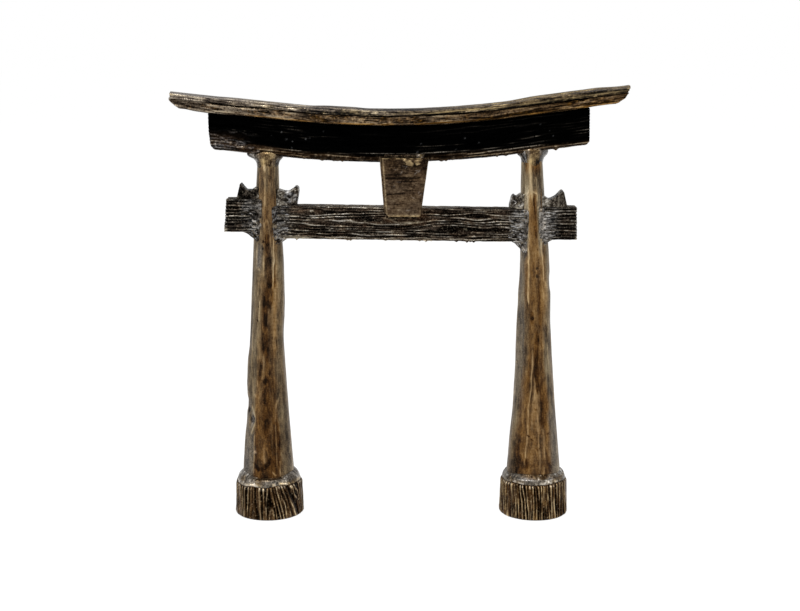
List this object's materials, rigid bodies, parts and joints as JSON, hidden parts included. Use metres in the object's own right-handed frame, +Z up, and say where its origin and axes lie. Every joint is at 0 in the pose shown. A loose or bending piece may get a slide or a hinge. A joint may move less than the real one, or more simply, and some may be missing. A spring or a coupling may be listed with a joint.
{
  "type": "torii gate ornament",
  "caption": "Small cast-bronze torii gate: round posts on drum feet, a curved layered lintel, a tie beam with wedges and a plain tablet.",
  "frame": {"origin": "on the surface it stands on, under the middle of the whole gate", "axes": "+X along the lintel towards the gate's right as seen from the side that shows the tablet, +Y from that front to the back, +Z up"},
  "size_m": [0.1594, 0.0248, 0.1525],
  "materials": {
    "cap_bronze": "cast bronze, deep carved grain, grey-brown patina with bright ridges",
    "board_bronze": "cast bronze, deep carved grain, brown patina, lower edges worn golden",
    "black_bronze": "cast bronze, fine carved grain, near-black patina",
    "beam_bronze": "cast bronze, deep wavy grain, brown-black patina with bright ridges",
    "post_bronze": "cast bronze, smooth with long facets, brown patina worn golden",
    "foot_bronze": "cast bronze, upright grooves, brown patina with golden ridges",
    "tablet_bronze": "cast bronze, smooth and rubbed, brown patina with golden edges",
    "weld_bronze": "weld metal smoothed by hand, grey and half bright"
  },
  "bodies": {
    "root": {"lintel_cap": "cap_bronze", "lintel_board": "board_bronze", "second_lintel": "black_bronze", "tie_beam_middle": "beam_bronze", "tie_beam_left_end": "beam_bronze", "tie_beam_right_end": "beam_bronze", "left_outer_wedge": "beam_bronze", "left_inner_wedge": "beam_bronze", "right_inner_wedge": "beam_bronze", "right_outer_wedge": "beam_bronze", "left_post": "post_bronze", "right_post": "post_bronze", "left_foot": "foot_bronze", "right_foot": "foot_bronze", "name_tablet": "tablet_bronze", "left_head_weld": "weld_bronze", "right_head_weld": "weld_bronze", "left_foot_weld": "weld_bronze", "right_foot_weld": "weld_bronze", "left_outer_weld": "weld_bronze", "left_inner_weld": "weld_bronze", "right_inner_weld": "weld_bronze", "right_outer_weld": "weld_bronze", "tablet_upper_weld": "weld_bronze", "tablet_lower_weld": "weld_bronze"}
  },
  "joints": []
}
